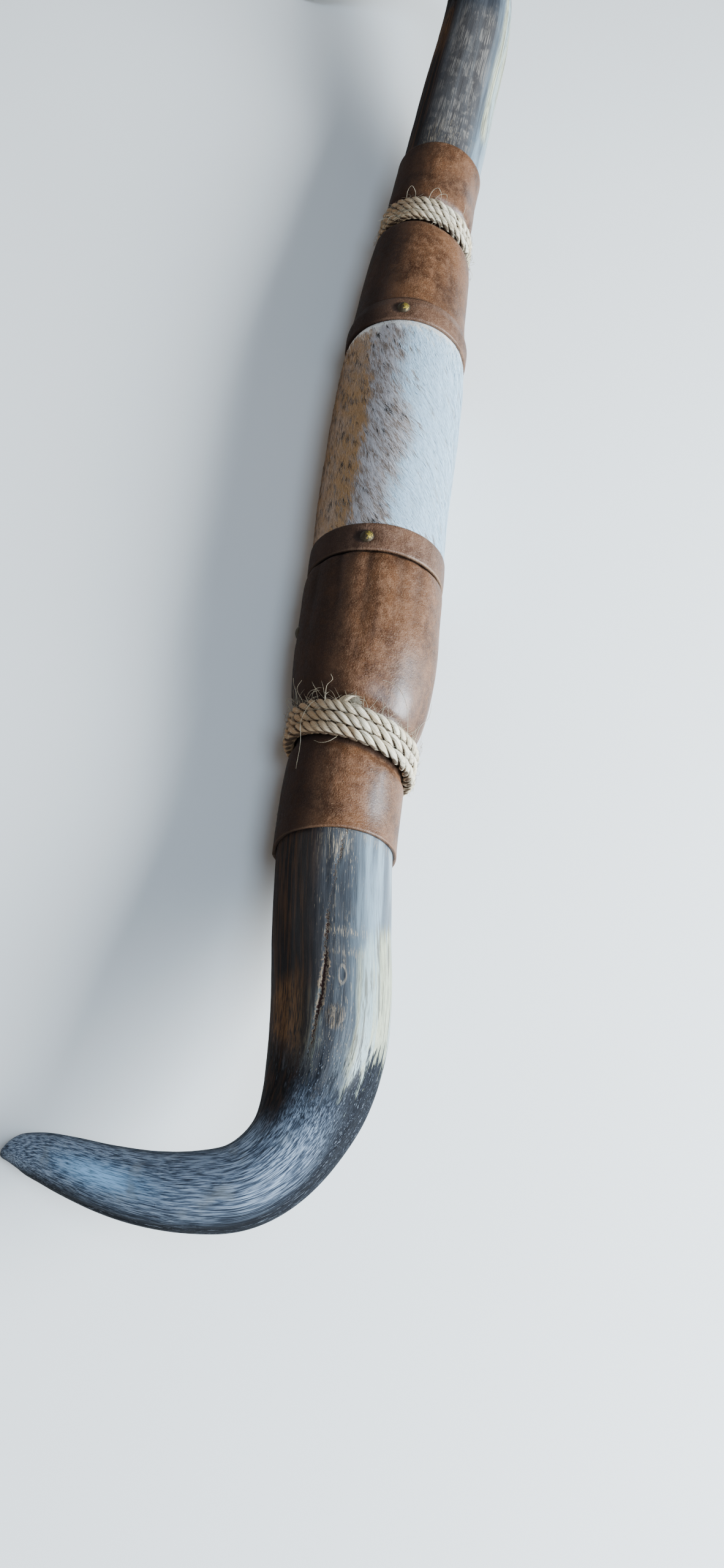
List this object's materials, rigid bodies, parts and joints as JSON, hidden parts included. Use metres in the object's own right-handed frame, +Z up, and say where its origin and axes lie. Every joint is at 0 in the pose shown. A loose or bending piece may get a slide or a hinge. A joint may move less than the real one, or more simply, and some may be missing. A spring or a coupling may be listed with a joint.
{
  "type": "mounted longhorn steer horns",
  "caption": "Pair of longhorn steer horns joined end to end by a leather and cowhide wrap with rope bands, straps and domed tacks.",
  "frame": {"origin": "on the resting surface, under the middle of the wrap, at the middle of the flat underside", "axes": "+X runs along the wrap from the left horn to the right horn, +Y is the side the tips point to, +Z is up from the resting surface"},
  "size_m": [1.0457, 0.1947, 0.1139],
  "materials": {
    "horn": "natural horn, semi-gloss, slate grey with cream bands turning to charcoal at the bend and tip, streaked lengthwise",
    "wood": "turned softwood core, hidden",
    "leather": "saddle-brown leather with fine grain, mottled, waxed semi-gloss",
    "cowhide": "short-haired white hide with black and grey roan specks",
    "rope": "three-strand twisted sisal with loose fibres",
    "brass": "antiqued brass, darkened in the rim"
  },
  "bodies": {
    "root": {"horn_left": "horn", "horn_right": "horn", "wood_core": "wood", "leather_sleeve_left": "leather", "leather_sleeve_right": "leather", "cowhide_panel": "cowhide", "strap_left": "leather", "strap_right": "leather", "rope_left": "rope", "rope_right": "rope", "tack_strap_left_1": "brass", "tack_strap_left_2": "brass", "tack_strap_left_3": "brass", "tack_strap_right_1": "brass", "tack_strap_right_2": "brass", "tack_strap_right_3": "brass", "tack_seam_left_1": "brass", "tack_seam_left_2": "brass", "tack_seam_right_1": "brass", "tack_seam_right_2": "brass"}
  },
  "joints": []
}
